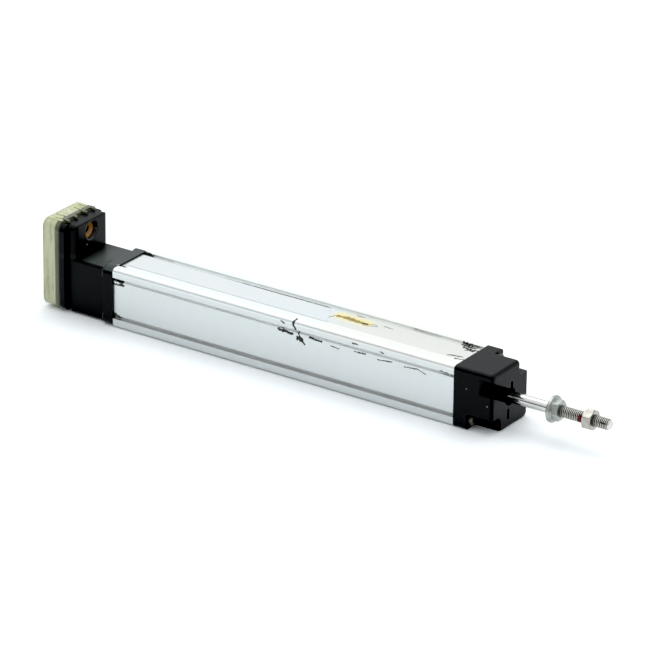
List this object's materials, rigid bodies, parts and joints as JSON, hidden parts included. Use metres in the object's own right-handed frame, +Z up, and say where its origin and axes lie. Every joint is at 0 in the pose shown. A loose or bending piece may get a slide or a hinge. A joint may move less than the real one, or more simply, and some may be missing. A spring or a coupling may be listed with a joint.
{
  "type": "linear displacement transducer",
  "caption": "Square grooved aluminium housing with black end flanges, a threaded push rod, and a terminal box with a clear clip-on cover at the rear.",
  "frame": {"origin": "under the middle of the whole part at rest, on the plane of the housing's underside", "axes": "+X along the push rod towards its tip, +Z up through the terminal box's height"},
  "size_m": [0.3374, 0.033, 0.0504],
  "materials": {
    "aluminium": "satin anodised",
    "black_plastic": "moulded, slightly glossy",
    "black_rubber": "matt",
    "bearing_bronze": "sintered",
    "dark_steel": "phosphated",
    "zinc_steel": "zinc plated",
    "bright_steel": "bright",
    "rod_steel": "ground",
    "board": "glass-fibre board",
    "track": "conductive plastic",
    "white_plastic": "moulded",
    "contact_brass": "bright",
    "lead_insulation": "smooth",
    "amber_rubber": "satin",
    "clear_cover": "yellowed clear plastic"
  },
  "bodies": {
    "housing": {"profile": "aluminium", "front_flange": "black_plastic", "front_gasket": "black_rubber", "bearing_bush": "bearing_bronze", "rod_seal": "black_rubber", "seal_retainer": "dark_steel", "front_screws": "zinc_steel", "front_damper": "black_rubber", "rear_housing": "black_plastic", "rear_gasket": "black_rubber", "rear_screws": "zinc_steel", "rear_damper": "black_rubber", "track_board": "board", "resistance_tracks": "track", "terminal_frame": "black_plastic", "terminal_block": "white_plastic", "terminal_clamps": "contact_brass", "terminal_screws": "zinc_steel", "leads": "lead_insulation", "lead_seal": "black_rubber", "cable_seal": "amber_rubber", "cover_seal": "black_rubber", "cover": "clear_cover"},
    "slider": {"carrier": "white_plastic", "slide_shoes": "white_plastic", "wiper": "contact_brass", "wiper_rivets": "contact_brass"},
    "push_rod": {"rod": "rod_steel", "coupling_rings": "dark_steel", "flange_nut": "zinc_steel", "lock_nut": "bright_steel"}
  },
  "joints": [
    {"name": "rod_slide", "type": "slide", "parent": "housing", "child": "slider", "axis": [1, 0, 0], "range_m": [-0.002, 0.153]},
    {"name": "rod_turn", "type": "hinge", "parent": "slider", "child": "push_rod", "pos_m": [0, 0, 0.0165], "axis": [1, 0, 0], "continuous": true}
  ]
}
